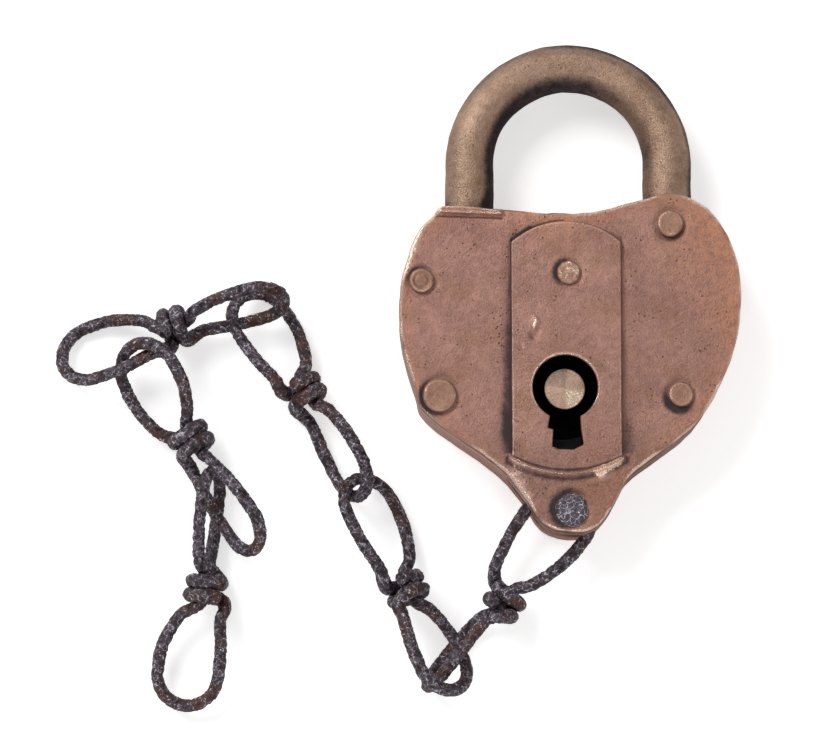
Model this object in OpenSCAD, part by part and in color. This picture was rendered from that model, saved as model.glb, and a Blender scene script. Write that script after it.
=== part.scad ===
// Heart-shaped bronze lever padlock with its rusted chain of knotted wire links.
// The lock lies on its back: +Z points out of its front, +Y towards the shackle.
// The origin is on the axis of the key post, at the back face of the case.

/* [Case] */
// Width of the case across its shoulders
case_w = 57.4; // [54:0.2:70]
// Height of the case, from the tip of the tongue to the right shoulder
case_h = 57.3; // [54:0.1:70]
// How far the tip of the tongue lies below the key post
tongue_drop = 24.2; // [24:0.1:26]
// How far the middle of the case lies to the right of the key post
case_mid = 1; // [0:0.1:2]
// Thickness of the back plate
back_t = 2; // [1.6:0.1:3]
// Thickness of the front cover
front_t = 2; // [1.6:0.1:3]
// Thickness of the cast side wall
wall_t = 2.4; // [2:0.1:3]
// Width of the raised panel
panel_w = 18.3; // [16:0.1:20]
// How far the raised panel stands above the cover
panel_rise = 1.2; // [0.8:0.1:1.6]
// Top of the panel above the key post
panel_top = 28.1; // [26:0.1:28.4]
// Foot of the panel below the key post
panel_foot = 14.2; // [13.5:0.1:15]

/* [Shackle] */
// Diameter of the shackle's bow
bow_d = 8.2; // [6:0.1:9]
// Diameter of the leg that is hinged in the case
heel_d = 8.3; // [6:0.1:8.8]
// Diameter of the leg that locks in the case
toe_d = 8.4; // [7:0.1:9.2]
// Distance between the two legs
leg_spacing = 33.6; // [32:0.1:35]
// Height of the bow's centre above the key post
bow_y = 39.1; // [36:0.1:50]
// Furthest that the shackle swings open
swing_max = 70; // [30:1:75]

/* [Rivets] */
// Radius of the shackle pivot's shank
pivot_r = 1.9; // [1.5:0.1:2.3]
// Radius of the shanks that hold the cover
rivet_r = 1.5; // [1.2:0.1:1.8]
// Radius of the chain rivet's shank
chain_rivet_r = 1.9; // [1.6:0.1:2.2]
// Height of a rivet's head above the cover
head_h = 0.8; // [0.5:0.1:1]

/* [Lock work] */
// Radius of the key post
post_r = 3.4; // [3:0.1:3.6]
// Radius of the ring of the keyhole
keyhole_r = 5.45; // [5.2:0.05:5.8]
// Radius that the key's bit sweeps
bit_r = 9.8; // [9.4:0.1:10]
// How far the bolt travels
bolt_travel = 4; // [3.6:0.1:4.2]
// Thickness of the bolt
bolt_t = 3.2; // [2.8:0.1:3.6]
// Width of the bolt's nose
nose_w = 4; // [3.4:0.1:4.8]
// Thickness of a lever
lever_t = 0.85; // [0.7:0.05:1.05]
// Gap between two levers
lever_gap = 0.1; // [0.08:0.01:0.2]

/* [Chain] */
// Diameter of the chain's wire
wire_d = 2.1; // [1.7:0.05:2.5]

/* [Hidden] */
$fn = 64;

fit = 0.05;      // radial clearance of a shank in its hole
free = 0.35;     // clearance round a piece that moves
thru = 1;        // how far a cut runs past the faces it opens

// The case's outline, clockwise from the top left corner: percent of half its width
// from its middle line, and percent of its height from the tip of the tongue.
OUTLINE = [
    [-75, 96.3], [-38, 95.1], [7, 94.2], [38, 97.7], [61, 100], [82, 95.1],
    [95.5, 84.1], [100, 72.6], [97.6, 57.6], [89, 45.5], [73, 32.1], [50, 22.7],
    [33, 16], [24, 7.5], [13.6, 1.6], [0, 0], [-16.4, 2.6], [-26.8, 10.1],
    [-41.5, 19], [-75.6, 31.2], [-88, 37], [-90.2, 41], [-96.2, 50.8],
    [-100, 61.3], [-98, 75.7], [-88.9, 89], [-80.5, 93.2]
];
OUTLINE_STEPS = 3;

function unit(v) = v / norm(v);
function on_case(u, v) = [case_mid + u / 100 * case_w / 2, v / 100 * case_h - tongue_drop];
function knot(i) =
    let (k = OUTLINE[(i + len(OUTLINE)) % len(OUTLINE)]) on_case(k[0], k[1]);
function heading(i) = unit(knot(i + 1) - knot(i - 1));
// a smooth stretch from p to q that leaves along a and arrives along b
function stretch(p, q, a, b, t) =
    let (l = norm(q - p))
    (2 * t^3 - 3 * t^2 + 1) * p + (t^3 - 2 * t^2 + t) * l * a
    + (3 * t^2 - 2 * t^3) * q + (t^3 - t^2) * l * b;
case_outline = [
    for (i = [0 : len(OUTLINE) - 1])
        for (s = [0 : OUTLINE_STEPS - 1])
            stretch(knot(i), knot(i + 1), heading(i), heading(i + 1), s / OUTLINE_STEPS)
];
case_heart = on_case(0, 60);
inner_outline = [for (p = case_outline) p - wall_t * unit(p - case_heart)];

// heights above the back face
lever_count = 4;
lever_pitch = lever_t + lever_gap;
bolt_z = back_t + 3;
lever_z = bolt_z + bolt_t + lever_gap;
inside_z = lever_z + lever_count * lever_pitch + 0.45;
cover_z = inside_z + front_t;
axis_z = (back_t + inside_z) / 2;

// places on the case
pivot = on_case(58.5, 90.8);
rivet_upper_left = on_case(-86.8, 73.8);
rivet_lower_left = on_case(-76.3, 40);
rivet_lower_right = on_case(63.8, 40.3);
chain_rivet_at = on_case(0, 6.6);

// the shackle and the bolt's nose
toe_x = pivot[0] - leg_spacing;
bow_x = pivot[0] - leg_spacing / 2;
eye_r = 4.6;
eye_t = heel_d;
toe_inner_r = leg_spacing - toe_d / 2;
nose_y = bit_r + 7.7;
nose_low = nose_y - nose_w / 2;
nose_x = pivot[0] - sqrt((toe_inner_r - 0.6)^2 - (pivot[1] - nose_low)^2);
toe_end = nose_low - 2.4;
toe_angle = asin((pivot[1] - toe_end) / leg_spacing);

// the bolt
stump = [-0.6, bit_r + 3.4];
stump_r = 1.1;
guide_r = 1.4;
guide_at = [8, nose_y];
bolt_tail = guide_at[0] + bolt_travel + guide_r + 2.2;

// the levers
lever_pivot = [20.5, bit_r + 1.7];
lever_pin_r = 1.8;
lever_eye_r = 3.4;
lever_end = -7.8;
lever_top = bit_r + 6.8;
LEVER_ANGLES = [1.6, 2, 1.8, 2.2];
spring_w = 0.4;
spring_at = [-2, lever_top - 3];
spring_wall_y = 26.75;

// the slot of the tongue, where the chain's first link goes round its rivet; the link
// rests there at a height of so many wire diameters
link_rest = 3.49;
slot_mid = link_rest * wire_d;
slot_half = wire_d / 2 + 1;
slot_reach = 2.81 * wire_d;
slot_top = chain_rivet_at[1] + slot_reach;
cavity_foot = slot_top + wall_t - 0.2;

module outline() polygon(case_outline);

module cavity_shape() intersection() {
    polygon(inner_outline);
    translate([-case_w, cavity_foot]) square([2 * case_w, 2 * case_h]);
}

module at(p, z = 0) translate([p[0], p[1], z]) children();

// a riveted shank: flush at the back, with a chamfered head on the cover
module rivet(p, shank_r, head_r, top = cover_z) at(p) rotate_extrude() polygon([
    [0, 0], [shank_r, 0], [shank_r, top], [head_r, top],
    [head_r, top + head_h * 0.55], [head_r - head_h * 0.45, top + head_h], [0, top + head_h]
]);

module rivet_hole(p, shank_r) at(p, -thru) cylinder(r = shank_r + fit, h = cover_z + 4);

// the hole in the case that the toe slides through as it swings round the pivot
module toe_room() {
    at(pivot, axis_z) rotate([0, 0, 180]) rotate_extrude(angle = toe_angle, $fn = 96)
        translate([leg_spacing, 0]) circle(r = toe_d / 2 + free);
    translate([toe_x, pivot[1] - 0.01, axis_z]) rotate([-90, 0, 0])
        cylinder(r = toe_d / 2 + free, h = 20);
}

// the room that the hinged leg sweeps as the shackle opens
module heel_room() {
    r = heel_d / 2 + free;
    at(pivot, axis_z - eye_t / 2 - 0.1) cylinder(r = eye_r + free, h = cover_z);
    for (a = [0, -swing_max])
        at(pivot, axis_z) rotate([-90, 0, a]) cylinder(r = r, h = 30);
    at(pivot, axis_z - r) rotate([0, 0, 90 - swing_max]) rotate_extrude(angle = swing_max)
        square([30, 2 * r]);
}

module keyhole() {
    circle(r = keyhole_r);
    polygon([[-2.4, -4], [-2.9, -6.8], [-2, -7.1], [-2.2, -9.9], [-1.2, -10.35],
             [1.4, -10.45], [3, -9.6], [2.6, -7.3], [2.4, -4]]);
}

// an upright panel with an arched head and a shallow curved foot
module panel_shape() {
    head_rise = 3.5;
    foot_drop = 2.4;
    head_r = (panel_w^2 / 4 + head_rise^2) / (2 * head_rise);
    foot_r = (panel_w^2 / 4 + foot_drop^2) / (2 * foot_drop);
    left = 0.25 - panel_w / 2;
    intersection() {
        translate([left, -panel_foot]) square([panel_w, panel_top + panel_foot]);
        union() {
            translate([0.25, panel_top - head_r]) circle(r = head_r, $fn = 96);
            translate([0.25, foot_r - panel_foot]) circle(r = foot_r, $fn = 96);
            translate([left, foot_drop - panel_foot])
                square([panel_w, panel_top + panel_foot - head_rise - foot_drop]);
        }
    }
}

module rear_case() color([0.62, 0.40, 0.27]) difference() {
    union() {
        linear_extrude(back_t) outline();
        linear_extrude(inside_z) difference() {
            outline();
            cavity_shape();
        }
        for (p = [rivet_upper_left, rivet_lower_left, rivet_lower_right])
            at(p) cylinder(r = rivet_r + 1.5, h = inside_z);
        at(pivot) cylinder(r = eye_r - 0.2, h = axis_z - eye_t / 2 - 0.1);
        at(guide_at) cylinder(r = guide_r + 1.6, h = bolt_z - fit);
        at([nose_x + 3.5, nose_y]) cylinder(r = 1.8, h = bolt_z - fit);
        at(lever_pivot) cylinder(r = lever_eye_r, h = lever_z - fit);
        at([5.6, -10.4]) cylinder(r = 0.9, h = back_t + 1.2);
    }
    translate([-case_w, -case_h - 20, slot_mid - slot_half])
        cube([2 * case_w, case_h + 20 + slot_top, cover_z]);
    toe_room();
    heel_room();
    rivet_hole(pivot, pivot_r);
    rivet_hole(chain_rivet_at, chain_rivet_r);
    for (p = [rivet_upper_left, rivet_lower_left, rivet_lower_right]) rivet_hole(p, rivet_r);
    rivet_hole([0, 0], post_r - 1.4);
    at(guide_at, back_t / 2) cylinder(r = guide_r + fit, h = cover_z);
    at(lever_pivot, back_t / 2) cylinder(r = lever_pin_r + fit, h = cover_z);
}

module front_cover() color([0.66, 0.42, 0.28]) difference() {
    union() {
        translate([0, 0, inside_z]) linear_extrude(front_t) outline();
        translate([0, 0, inside_z]) linear_extrude(front_t + panel_rise) panel_shape();
        at(pivot, axis_z + eye_t / 2 + 0.1)
            cylinder(r = eye_r - 0.2, h = inside_z + 0.5 - axis_z - eye_t / 2);
        translate([0, 0, slot_mid + slot_half])
            linear_extrude(inside_z - slot_mid - slot_half + 0.5) intersection() {
                outline();
                translate([-case_w, -case_h - 20]) square([2 * case_w, case_h + 19.6 + slot_top]);
            }
    }
    translate([0, 0, inside_z - thru]) linear_extrude(10) keyhole();
    rivet_hole(pivot, pivot_r);
    rivet_hole(chain_rivet_at, chain_rivet_r);
    for (p = [rivet_upper_left, rivet_lower_left, rivet_lower_right]) rivet_hole(p, rivet_r);
    at([0.7, 19.3]) cylinder(r = 1.3 + fit, h = cover_z + 10);
}

module shackle() color([0.45, 0.36, 0.24]) difference() {
    at(pivot, axis_z) union() {
        translate([0, 0, -eye_t / 2]) cylinder(r = eye_r, h = eye_t);
        rotate([-90, 0, 0]) cylinder(r1 = heel_d / 2, r2 = bow_d / 2, h = bow_y - pivot[1]);
        translate([-leg_spacing / 2, bow_y - pivot[1], 0])
            rotate_extrude(angle = 180, $fn = 128)
                translate([leg_spacing / 2, 0]) circle(r = bow_d / 2);
        translate([-leg_spacing, 0, 0]) rotate([-90, 0, 0])
            cylinder(r1 = toe_d / 2, r2 = bow_d / 2, h = bow_y - pivot[1]);
        rotate([0, 0, 180]) rotate_extrude(angle = toe_angle, $fn = 96)
            translate([leg_spacing, 0]) circle(r = toe_d / 2);
    }
    at(pivot, -thru) cylinder(r = pivot_r + fit, h = cover_z + 4);
    translate([nose_x - bolt_travel - 0.6, nose_low - 0.4, 0]) cube([20, nose_w + 0.8, cover_z]);
}

module shackle_pivot_rivet() color([0.66, 0.44, 0.30]) rivet(pivot, pivot_r, 2.4);

module case_rivet(p, head_r) color([0.66, 0.44, 0.30]) rivet(p, rivet_r, head_r);

// the stub that the lost keyhole cover turned on, peened over inside
module cover_pivot_stub() color([0.75, 0.52, 0.38]) at([0.7, 19.3]) rotate_extrude() polygon([
    [0, inside_z - 0.35], [1.6, inside_z - 0.35], [1.6, inside_z], [1.3, inside_z],
    [1.3, cover_z + panel_rise], [2, cover_z + panel_rise],
    [1.9, cover_z + panel_rise + 0.5], [0, cover_z + panel_rise + 0.7]
]);

module chain_rivet() color([0.30, 0.29, 0.32]) rivet(chain_rivet_at, chain_rivet_r, 2.75);

// turned post that the barrel of the key slides over, with a coned top
module key_post() color([0.72, 0.62, 0.48]) rotate_extrude() polygon([
    [0, 0], [post_r - 1.4, 0], [post_r - 1.4, back_t], [post_r, back_t],
    [post_r, cover_z - 1.2], [0, cover_z - 0.8]
]);

module bolt() color([0.60, 0.50, 0.32]) {
    difference() {
        translate([0, 0, bolt_z]) linear_extrude(bolt_t) union() {
            translate([nose_x, nose_low]) square([bolt_tail - nose_x, nose_w]);
            translate([4, nose_y - 3.5]) square([bolt_tail - 4, 7]);
            translate([-3.4, bit_r - 0.8]) square([8.4, nose_low - bit_r + 1]);
        }
        translate([-2.2, 0, 0]) cube([4.4, bit_r + 0.8, cover_z]);
        for (dx = [0, bolt_travel]) at(guide_at + [dx, 0]) cylinder(r = guide_r + 0.2, h = cover_z);
        translate([guide_at[0], nose_y - guide_r - 0.2, 0])
            cube([bolt_travel, 2 * guide_r + 0.4, cover_z]);
    }
    at(stump, bolt_z + bolt_t - 0.1)
        cylinder(r = stump_r, h = lever_count * lever_pitch + 0.25);
}

module bolt_guide_pin() color([0.45, 0.45, 0.47])
    at(guide_at, back_t / 2) cylinder(r = guide_r, h = bolt_z + bolt_t - back_t / 2);

module lever_pivot_post() color([0.55, 0.50, 0.42])
    at(lever_pivot, back_t / 2) cylinder(r = lever_pin_r, h = inside_z - 0.1 - back_t / 2);

// two pockets for the bolt's stump and the gate between them
module lever_window(lift) {
    pocket = stump_r + 0.3;
    drop = lift + 2.2;
    for (x = [stump[0], stump[0] - bolt_travel])
        translate([x - pocket, stump[1] - drop]) square([2 * pocket, drop + 2.2]);
    translate([stump[0] - bolt_travel, stump[1] - lift / 2 - 1.75]) square([bolt_travel, 3.5]);
}

module lever(i) {
    lift = (lever_pivot[0] - stump[0] + bolt_travel / 2) * sin(LEVER_ANGLES[i]);
    low = bit_r - lift;
    color([0.70, 0.58, 0.34]) difference() {
        translate([0, 0, lever_z + i * lever_pitch]) linear_extrude(lever_t) difference() {
            union() {
                translate([lever_end, low]) square([lever_pivot[0] - lever_end, lever_top - low]);
                translate(lever_pivot) circle(r = lever_eye_r);
            }
            translate(lever_pivot) circle(r = lever_pin_r + fit);
            translate([lever_pivot[0], lever_pivot[1] + lever_eye_r]) square([9, 9]);
            lever_window(lift);
        }
        spring_ring(i, spring_w + 0.1, -2, 40);
    }
}

// part of a flat ring of spring steel, standing on edge between two angles
module spring_ring(i, w, from, to) {
    ring_r = spring_wall_y - spring_at[1] - spring_w / 2;
    h = w > spring_w ? lever_t + 1 : lever_t - 0.1;
    translate([spring_at[0], spring_at[1], lever_z + i * lever_pitch + (lever_t - h) / 2])
        rotate([0, 0, from]) rotate_extrude(angle = to - from, $fn = 96)
            translate([ring_r - w / 2, 0]) square([w, h]);
}

module lever_spring(i) color([0.35, 0.35, 0.38]) spring_ring(i, spring_w, 4, 88);

// steel ward that keeps a wrong key from turning
module ward_plate() color([0.25, 0.25, 0.27]) difference() {
    translate([0, 0, back_t]) linear_extrude(1) difference() {
        translate([-6.5, cavity_foot + 0.3]) square([14, -5 - cavity_foot]);
        circle(r = 7.3);
    }
    at([5.6, -10.4]) cylinder(r = 0.9 + fit, h = cover_z);
}

// The chain. Its links are measured in wire diameters, from the chain rivet and the back
// face: the place of its middle, then for each of the two loops its heading, its rise, its
// roll about its own axis, its length and half its width, and last how far the knot sits off
// the line of the loops.
LINKS = [
    [[-5.63, -6.45, 2.68], [51.2, 5.37, 2.95, 10.22, 2.54],
     [231.52, -1.94, 77.61, 9.25, 1.91], [0.36, -0.48]],
    [[-12.81, -5.91, 3.04], [-67.29, 12.82, 139.28, 9.15, 2.32],
     [115.77, -4.26, 41.89, 9.86, 2.58], [-0.14, 0.03]],
    [[-20.94, 9.96, 2.16], [-62.39, 7.99, -122.0, 9.47, 2.3],
     [123.63, -3.26, 29.27, 9.6, 2.5], [-0.25, 0.19]],
    [[-32.02, 15.33, 2.93], [13.68, 7.94, -114.33, 9.36, 2.31],
     [197.49, -8.88, 28.49, 9.46, 2.59], [0.13, 0.01]],
    [[-30.65, 5.59, 2.77], [119.39, 5.44, -40.65, 9.17, 2.86],
     [-55.53, 11.43, -125.28, 10.27, 2.2], [0.45, 0.53]],
    [[-29.67, -5.96, 2.51], [83.28, 0.02, -107.26, 9.58, 1.93],
     [-97.63, -6.03, 4.83, 9.33, 2.45], [0.4, 0.04]]
];
WIRE_SIDES = 8;
WIRE_STEPS = 2;

// a wrap of a knot hangs to one side of the wire that runs straight through it
wrap_hang = 0.4;
wrap_across = 1.48;
wrap_out = 1.1;
function wrap_point(turn, along, wider = 1) =
    [along, wrap_hang + wrap_across * wider * cos(turn), wrap_out * wider * sin(turn)];
// one loop in its own plane, as [along, across, out]: from the free end round the knot,
// out along one side, round the end and back along the other side to the knot's core
function loop_points(l, w) = [
    for (a = [40 : 46 : 271]) wrap_point(a, 0.56),
    wrap_point(312, 0.72),
    wrap_point(352, 1.35, 1.05),
    [2.3, 0.74 * w + 0.14, 0],
    [(2.3 + l - w) / 2, 0.97 * w, 0],
    for (a = [0 : 30 : 180]) [l - w + w * sin(a), w * cos(a), 0],
    [(2.3 + l - w) / 2, -0.93 * w, 0],
    [2.3, -0.55 * w, 0],
    [1.45, -0.13 * w, 0],
    [0.8, 0, 0]
];
function loop_axis(a) = [cos(a[0]) * cos(a[1]), sin(a[0]) * cos(a[1]), sin(a[1])];
function loop_side(a) =
    let (level = [-sin(a[0]), cos(a[0]), 0])
    cos(a[2]) * level + sin(a[2]) * cross(loop_axis(a), level);
// a loop turned to its heading; near the knot its points keep to the knot's own axis
function loop_path(at, a, knot_axis, off) =
    let (ahead = loop_axis(a), side = loop_side(a), out = cross(ahead, side),
         across = unit(side - knot_axis * (side * knot_axis)), round = cross(knot_axis, across))
    [for (p = loop_points(a[3], a[4]))
        let (m = min(1, max(0, (p[0] - 1) / 1.6)),
             bound = knot_axis * p[0] + across * p[1] + round * p[2],
             loose = ahead * p[0] + side * p[1] + out * p[2])
        at + (1 - m) * (bound + off) + m * loose];
function backwards(p) = [for (i = [len(p) - 1 : -1 : 0]) p[i]];
function link_points(k) =
    let (l = LINKS[k], axis = unit(loop_axis(l[1]) - loop_axis(l[2])), off = [l[3][0], l[3][1], 0])
    concat(loop_path(l[0], l[1], axis, off), [l[0] + off],
           backwards(loop_path(l[0], l[2], -axis, off)));
function smooth(p, n) = [
    for (i = [0 : len(p) - 2], s = [0 : n - 1])
        let (a = i > 0 ? p[i - 1] : 2 * p[0] - p[1], b = p[i], c = p[i + 1],
             d = i < len(p) - 2 ? p[i + 2] : 2 * c - b, t = s / n)
        (2 * b + (c - a) * t + (2 * a - 5 * b + 4 * c - d) * t^2 + (3 * b - a - 3 * c + d) * t^3) / 2,
    p[len(p) - 1]
];
function headings(p) = [
    for (i = [0 : len(p) - 1]) unit(p[min(i + 1, len(p) - 1)] - p[max(i - 1, 0)])
];
function carried(n, t) = unit(n - (n * t) * t);
// one steady sideways direction carried along the path, so that the tube never twists
function sideways(t) = [
    for (i = 0, n = carried([0.3, 0.2, 1], t[0]); i < len(t);
         i = i + 1, n = carried(n, t[min(i, len(t) - 1)])) carried(n, t[i])
];
module tube(path, r, sides) {
    t = headings(path);
    n = sideways(t);
    rings = len(path);
    points = [for (i = [0 : rings - 1], k = [0 : sides - 1])
        path[i] + r * (cos(360 * k / sides) * n[i] + sin(360 * k / sides) * cross(t[i], n[i]))];
    walls = [for (i = [0 : rings - 2], k = [0 : sides - 1])
        let (a = i * sides + k, b = i * sides + (k + 1) % sides)
        for (f = [[a, b + sides, b], [a, a + sides, b + sides]]) f];
    ends = [[for (k = [0 : sides - 1]) k],
            [for (k = [sides - 1 : -1 : 0]) (rings - 1) * sides + k]];
    polyhedron(points, concat(walls, ends));
}
// eight sides of radius r stand as wide as the round wire
module chain_link(k) color([0.27, 0.24, 0.25]) at(chain_rivet_at)
    tube([for (p = smooth(link_points(k), WIRE_STEPS)) wire_d * p], wire_d / 2, WIRE_SIDES);

rear_case();
front_cover();
shackle();
shackle_pivot_rivet();
case_rivet(rivet_upper_left, 2.1);  // case_rivet_upper_left
case_rivet(rivet_lower_left, 2.85);  // case_rivet_lower_left
case_rivet(rivet_lower_right, 2);  // case_rivet_lower_right
cover_pivot_stub();
chain_rivet();
key_post();
bolt();
bolt_guide_pin();
lever(0);  // lever_1
lever(1);  // lever_2
lever(2);  // lever_3
lever(3);  // lever_4
lever_spring(0);  // lever_spring_1
lever_spring(1);  // lever_spring_2
lever_spring(2);  // lever_spring_3
lever_spring(3);  // lever_spring_4
lever_pivot_post();
ward_plate();
chain_link(0);  // chain_link_1
chain_link(1);  // chain_link_2
chain_link(2);  // chain_link_3
chain_link(3);  // chain_link_4
chain_link(4);  // chain_link_5
chain_link(5);  // chain_link_6
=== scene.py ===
from math import radians

import bmesh
import bpy
import numpy as np
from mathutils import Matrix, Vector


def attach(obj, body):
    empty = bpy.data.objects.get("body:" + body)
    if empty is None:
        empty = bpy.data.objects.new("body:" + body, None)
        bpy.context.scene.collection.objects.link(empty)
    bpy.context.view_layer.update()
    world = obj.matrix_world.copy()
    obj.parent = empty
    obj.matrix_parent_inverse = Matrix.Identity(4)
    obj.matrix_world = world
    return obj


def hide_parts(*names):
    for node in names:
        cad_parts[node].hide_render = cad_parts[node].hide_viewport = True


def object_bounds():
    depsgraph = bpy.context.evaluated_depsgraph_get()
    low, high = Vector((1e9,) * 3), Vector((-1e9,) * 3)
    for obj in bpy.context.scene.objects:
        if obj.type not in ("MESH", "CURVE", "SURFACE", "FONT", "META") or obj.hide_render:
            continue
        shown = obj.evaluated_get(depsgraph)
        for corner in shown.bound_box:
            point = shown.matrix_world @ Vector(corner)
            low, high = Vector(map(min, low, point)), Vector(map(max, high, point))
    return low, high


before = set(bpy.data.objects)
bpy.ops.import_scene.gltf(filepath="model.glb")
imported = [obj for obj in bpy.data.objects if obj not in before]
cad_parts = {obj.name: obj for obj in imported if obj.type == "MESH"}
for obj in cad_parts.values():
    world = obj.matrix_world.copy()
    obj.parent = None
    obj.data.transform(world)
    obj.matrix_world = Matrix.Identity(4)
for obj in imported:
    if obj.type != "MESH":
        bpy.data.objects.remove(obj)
cad_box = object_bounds()

# ----------------------------------------------- the bench
# The lock lies on its back on a plain white bench. A wide lamp hangs above it to the
# upper left, a weaker one to the right, and the pale room lights the rest.
MM = 0.001
AIM = np.array([-26.13, 1.67, 14.5]) * MM
LENS_DISTANCE = 0.65
LENS_LEAN = 8
LENS_ANGLE = 11.98
BENCH_SIDE = 4.0
BENCH_WHITE = (0.93, 0.925, 0.925, 1)
BENCH_LIFT = 0.53       # added to the bench where the lens sees it, so that it reads white
ROOM_LIGHT = 0.30
LAMPS = [  # name, place (m), side (m), watts
    ("window_lamp", (-0.62, 0.62, 0.95), 0.6, 8.9),
    ("fill_lamp", (0.9, -0.25, 0.9), 0.8, 1.9),
    ("front_lamp", (-0.12, -0.80, 0.45), 0.35, 1.9),
]


def bench_top(side, low):
    """A square sheet at the height of the lowest point of the lock."""
    h = side / 2
    mesh = bpy.data.meshes.new("bench")
    mesh.from_pydata([(-h, -h, low), (h, -h, low), (h, h, low), (-h, h, low)], [], [(0, 1, 2, 3)])
    top = bpy.data.objects.new("bench", mesh)
    bpy.context.scene.collection.objects.link(top)
    white = bpy.data.materials.new("bench_white")
    white.use_nodes = True
    tree = white.node_tree
    plain = tree.nodes["Principled BSDF"]
    seen = tree.nodes.new("ShaderNodeBsdfPrincipled")
    for shader in (plain, seen):
        shader.inputs["Base Color"].default_value = BENCH_WHITE
        shader.inputs["Roughness"].default_value = 0.9
        shader.inputs["Specular IOR Level"].default_value = 0.1
    seen.inputs["Emission Color"].default_value = (1, 1, 1, 1)
    seen.inputs["Emission Strength"].default_value = BENCH_LIFT
    path = tree.nodes.new("ShaderNodeLightPath")
    share = tree.nodes.new("ShaderNodeMixShader")
    tree.links.new(path.outputs["Is Camera Ray"], share.inputs[0])
    tree.links.new(plain.outputs[0], share.inputs[1])
    tree.links.new(seen.outputs[0], share.inputs[2])
    tree.links.new(share.outputs[0], tree.nodes["Material Output"].inputs["Surface"])
    mesh.materials.append(white)


def hang_lamp(name, place, side, watts):
    """A square lamp that faces the lock."""
    lamp = bpy.data.lights.new(name, "AREA")
    lamp.size = side
    lamp.energy = watts
    hung = bpy.data.objects.new(name, lamp)
    hung.location = place
    away = np.array(place) - AIM
    hung.rotation_euler = (
        float(np.arctan2(np.hypot(away[0], away[1]), away[2])),
        0,
        float(np.arctan2(away[0], -away[1])),
    )
    bpy.context.scene.collection.objects.link(hung)


bench_top(BENCH_SIDE, float(cad_box[0][2]) - 0.0001)
for name, place, side, watts in LAMPS:
    hang_lamp(name, place, side, watts)

room = bpy.data.worlds.new("room")
room.use_nodes = True
room.node_tree.nodes["Background"].inputs["Color"].default_value = (1, 0.995, 0.99, 1)
room.node_tree.nodes["Background"].inputs["Strength"].default_value = ROOM_LIGHT
bpy.context.scene.world = room
bpy.context.scene.view_settings.view_transform = "Standard"

lens = bpy.data.cameras.new("lens")
lens.sensor_fit = "HORIZONTAL"
lens.angle = radians(LENS_ANGLE)
camera = bpy.data.objects.new("camera", lens)
lean = radians(LENS_LEAN)
camera.location = AIM + LENS_DISTANCE * np.array([0, -np.sin(lean), np.cos(lean)])
camera.rotation_euler = (lean, 0, 0)
bpy.context.scene.collection.objects.link(camera)
bpy.context.scene.camera = camera

# ----------------------------------------- the front cover
# One bronze casting: a heart-shaped plate that ends in a tongue, with a raised upright
# panel round the keyhole. Sand-cast, filed along its edges and riveted on; decades of
# rubbing have left it pink-brown, dark in its corners and bright where it was knocked.
# Painted light is laid on it too: painted highlight on its rim, the panel's edge and the
# lit slope of its foot, and painted shade on the panel's right flank, along its foot,
# below the lip and darker towards the bottom.
CASE_MID = 1.0
CASE_W = 57.4
CASE_H = 57.3
TONGUE_DROP = 24.2
OUTLINE = [  # clockwise from the top left, percent of half the width and of the height
    (-75, 96.3), (-38, 95.1), (7, 94.2), (38, 97.7), (61, 100), (82, 95.1),
    (95.5, 84.1), (100, 72.6), (97.6, 57.6), (89, 45.5), (73, 32.1), (50, 22.7),
    (33, 16), (24, 7.5), (13.6, 1.6), (0, 0), (-16.4, 2.6), (-26.8, 10.1),
    (-41.5, 19), (-75.6, 31.2), (-88, 37), (-90.2, 41), (-96.2, 50.8),
    (-100, 61.3), (-98, 75.7), (-88.9, 89), (-80.5, 93.2),
]
SEAM_Z = 12.55
PLATE_Z = 14.55
PANEL_Z = 15.75
PAD_Z = 9.33
PAD_TOP_Y = -14.9
HUB = np.array([0.0, -5.0])
PANEL_X = (-8.9, 9.4)
PANEL_HEAD = (0.25, 14.39, 13.71)
PANEL_FOOT = (0.25, 4.44, 18.64)
KEYHOLE_R = 5.45
KEYHOLE_SLOT = [
    (-2.4, -4), (-2.9, -6.8), (-2, -7.1), (-2.2, -9.9), (-1.2, -10.35),
    (1.4, -10.45), (3, -9.6), (2.6, -7.3), (2.4, -4),
]
PIVOT = (17.79, 27.83)
RIVET_UPPER_LEFT = (-23.91, 18.09)
RIVET_LOWER_LEFT = (-20.9, -1.28)
RIVET_LOWER_RIGHT = (19.31, -1.11)
CHAIN_RIVET = (1.0, -20.42)
STUB = (0.7, 19.3)
LIP = (-21.8, -10.4, 29.55)     # its two ends in x, and its lower edge in y


def on_case(percent):
    """Percent of the case's half width and height, as a place in millimetres."""
    u, v = np.asarray(percent, float).T / 100
    return np.stack([CASE_MID + u * CASE_W / 2, v * CASE_H - TONGUE_DROP], -1)


def case_outline(steps=24):
    """Cubic stretches from knot to knot: each leaves and arrives along the line between
    the knot's two neighbours, as strongly as the stretch is long."""
    knots = on_case(OUTLINE)
    ahead = np.roll(knots, -1, 0) - np.roll(knots, 1, 0)
    ahead /= np.linalg.norm(ahead, axis=1)[:, None]
    after = np.roll(knots, -1, 0)
    length = np.linalg.norm(after - knots, axis=1)[:, None, None]
    t = (np.arange(steps) / steps)[None, :, None]
    path = (
        (2 * t**3 - 3 * t**2 + 1) * knots[:, None]
        + (t**3 - 2 * t**2 + t) * length * ahead[:, None]
        + (3 * t**2 - 2 * t**3) * after[:, None]
        + (t**3 - t**2) * length * np.roll(ahead, -1, 0)[:, None]
    )
    return path.reshape(-1, 2)


def bearing(points):
    """The angle of each point as seen from the hub, 0 to a full turn."""
    d = np.asarray(points, float)[..., :2] - HUB
    return np.arctan2(d[..., 1], d[..., 0]) % (2 * np.pi)


def reach_of(path, angles):
    """How far a closed path lies from the hub at each angle, straight between its points."""
    seen = bearing(path)
    order = np.argsort(seen)
    far = np.linalg.norm(path - HUB, axis=1)[order]
    return np.interp(angles, seen[order], far, period=2 * np.pi)


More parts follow.
